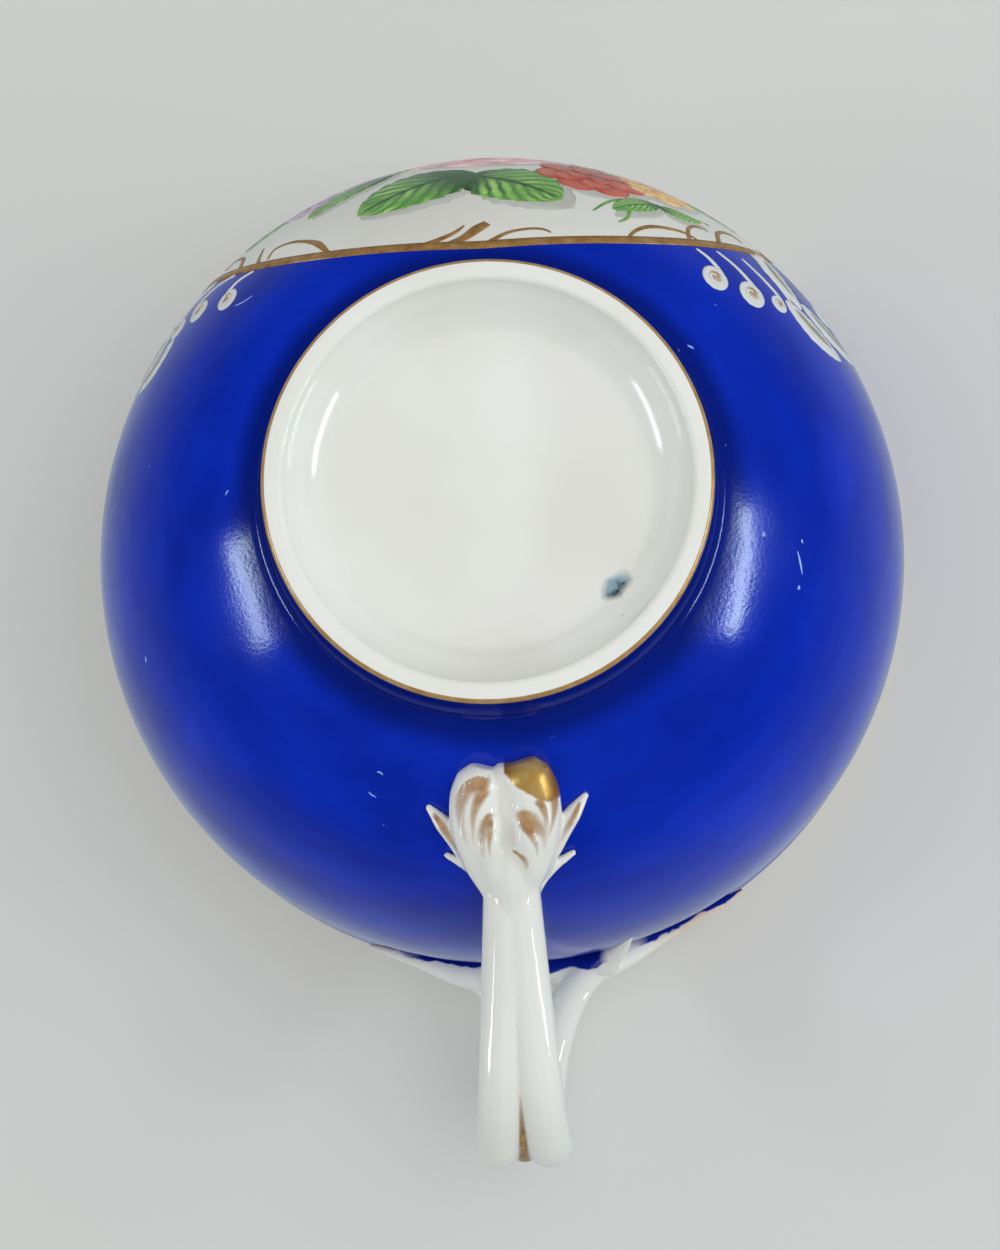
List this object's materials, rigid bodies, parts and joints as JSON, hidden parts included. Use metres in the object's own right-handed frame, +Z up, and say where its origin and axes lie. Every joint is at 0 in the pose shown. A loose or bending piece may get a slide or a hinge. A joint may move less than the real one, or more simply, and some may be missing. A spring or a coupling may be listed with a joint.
{
  "type": "teacup",
  "caption": "Footed hemispherical porcelain teacup, cobalt ground with a painted white reserve, gilt lines and a forked branch handle that springs from a leaf terminal.",
  "frame": {"origin": "centre of the plane that the foot ring stands on", "axes": "+Z up through the mouth, +Y towards the handle, +X completes the right-handed frame; the painted reserve faces -Y"},
  "size_m": [0.0996, 0.1222, 0.056],
  "materials": {
    "cobalt_glaze": "gloss",
    "white_glaze": "gloss",
    "gilding": "burnished gold on glaze"
  },
  "bodies": {
    "root": {"bowl": "cobalt_glaze", "foot_ring": "white_glaze", "handle_stem": "white_glaze", "handle_arm_right": "white_glaze", "handle_arm_left": "white_glaze", "arm_leaf_right": "white_glaze", "leaf_lobe_right": "gilding", "leaf_lobe_left": "white_glaze", "side_leaf_right": "white_glaze", "side_leaf_left": "white_glaze", "leaflet_right": "white_glaze", "leaflet_left": "white_glaze"}
  },
  "joints": []
}
